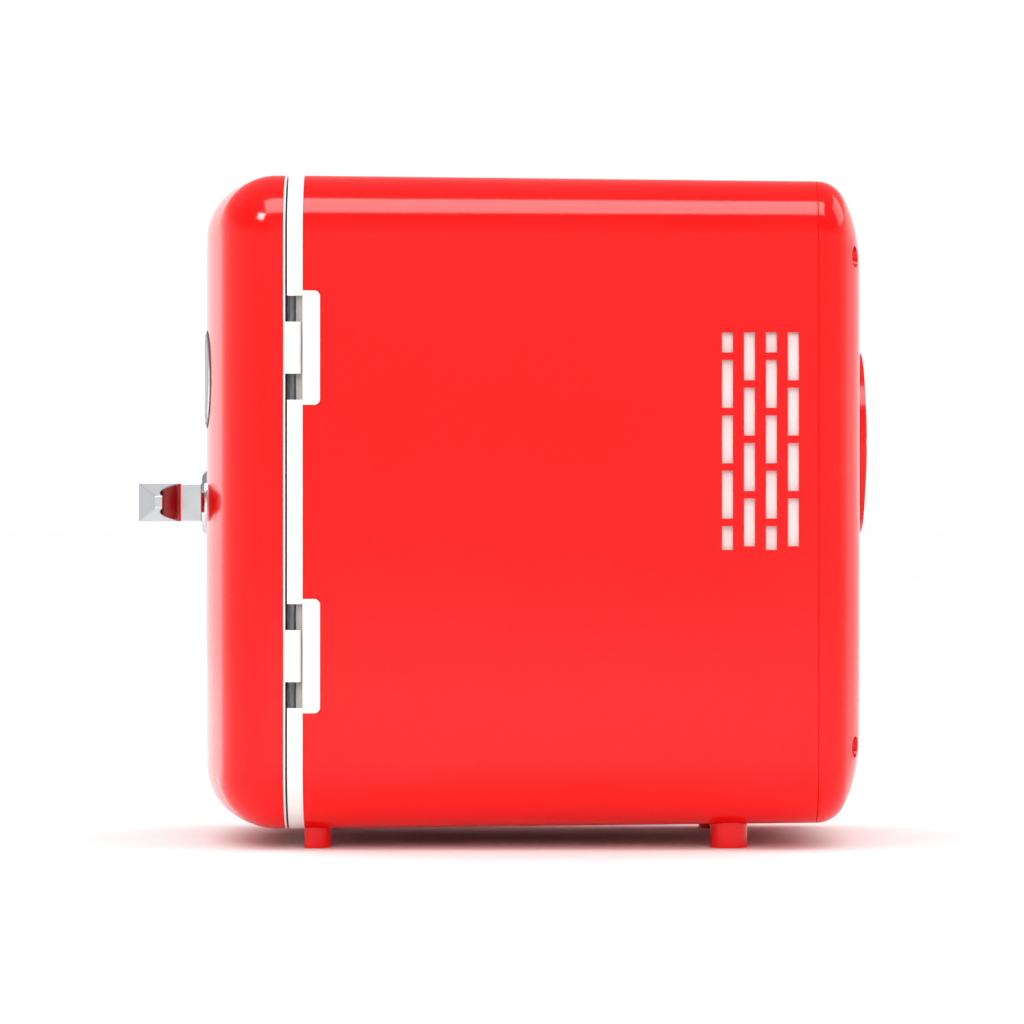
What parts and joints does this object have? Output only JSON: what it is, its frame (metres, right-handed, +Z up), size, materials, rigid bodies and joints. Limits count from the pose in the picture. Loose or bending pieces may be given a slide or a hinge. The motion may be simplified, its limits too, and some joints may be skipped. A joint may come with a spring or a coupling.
{
  "type": "mini fridge",
  "caption": "Small retro cooler and warmer box with a crowned hinged door, quarter-turn chrome lever, side vents, rear fan guard and round feet.",
  "frame": {"origin": "on the floor under the middle of the whole footprint, lever and fan guard included", "axes": "+X towards the hinge side, +Y towards the back, +Z up"},
  "size_m": [0.1908, 0.3156, 0.2799],
  "materials": {
    "red_shell": "glossy moulded plastic",
    "red_trim": "glossy moulded plastic",
    "white_plastic": "smooth moulded plastic",
    "liner_plastic": "smooth white liner",
    "foam": "expanded foam",
    "seal_rubber": "soft seal",
    "chrome": "bright plated",
    "steel": "plain steel",
    "aluminium": "brushed plate",
    "ceramic_white": "sintered",
    "fan_black": "moulded",
    "board_green": "coated board",
    "parts_dark": "moulded and sleeved",
    "brass": "plated contact"
  },
  "bodies": {
    "cabinet": {"cabinet_shell": "red_shell", "rear_cover": "red_shell", "fan_guard": "red_trim", "cover_screws": "steel", "feet": "red_trim", "front_frame": "white_plastic", "seal_band": "steel", "hinge_leaves": "white_plastic", "hinge_pins": "steel", "liner": "liner_plastic", "insulation": "foam", "strike_plate": "steel", "shelf_rails": "liner_plastic", "shelf": "liner_plastic", "cold_plate": "aluminium", "cold_block": "aluminium", "cooling_module": "ceramic_white", "heat_sink": "aluminium", "sink_screws": "steel", "fan_frame": "fan_black", "fan_shaft": "steel", "fan_screws": "steel", "vent_screen_left": "white_plastic", "vent_screen_right": "white_plastic", "power_board": "board_green", "board_standoffs": "brass", "board_parts": "parts_dark", "ac_inlet": "parts_dark", "ac_inlet_pins": "brass", "dc_inlet": "parts_dark", "dc_inlet_pin": "brass", "switch_housing": "parts_dark"},
    "door": {"door_shell": "red_shell", "door_panel": "white_plastic", "door_foam": "foam", "door_seal": "seal_rubber", "badge": "chrome", "escutcheon": "chrome", "spindle_bush": "white_plastic"},
    "handle": {"lever": "chrome", "spindle": "steel", "tongue_washer": "steel", "latch_tongue": "steel", "tongue_nut": "steel"},
    "fan": {"fan_rotor": "fan_black"},
    "rocker": {"switch_rocker": "fan_black"}
  },
  "joints": [
    {"name": "door_hinge", "type": "hinge", "parent": "cabinet", "child": "door", "pos_m": [0.0931, -0.08475, 0.14385], "axis": [0, 0, 1], "range_deg": [0, 105]},
    {"name": "handle_turn", "type": "hinge", "parent": "door", "child": "handle", "pos_m": [-0.052, -0.12485, 0.14385], "axis": [0, 1, 0], "range_deg": [0, 90]},
    {"name": "fan_spin", "type": "hinge", "parent": "cabinet", "child": "fan", "pos_m": [0, 0.12985, 0.16935], "axis": [0, 1, 0], "continuous": true},
    {"name": "rocker_tilt", "type": "hinge", "parent": "cabinet", "child": "rocker", "pos_m": [0, 0.15005, 0.06], "axis": [1, 0, 0], "range_deg": [-10, 10]}
  ]
}
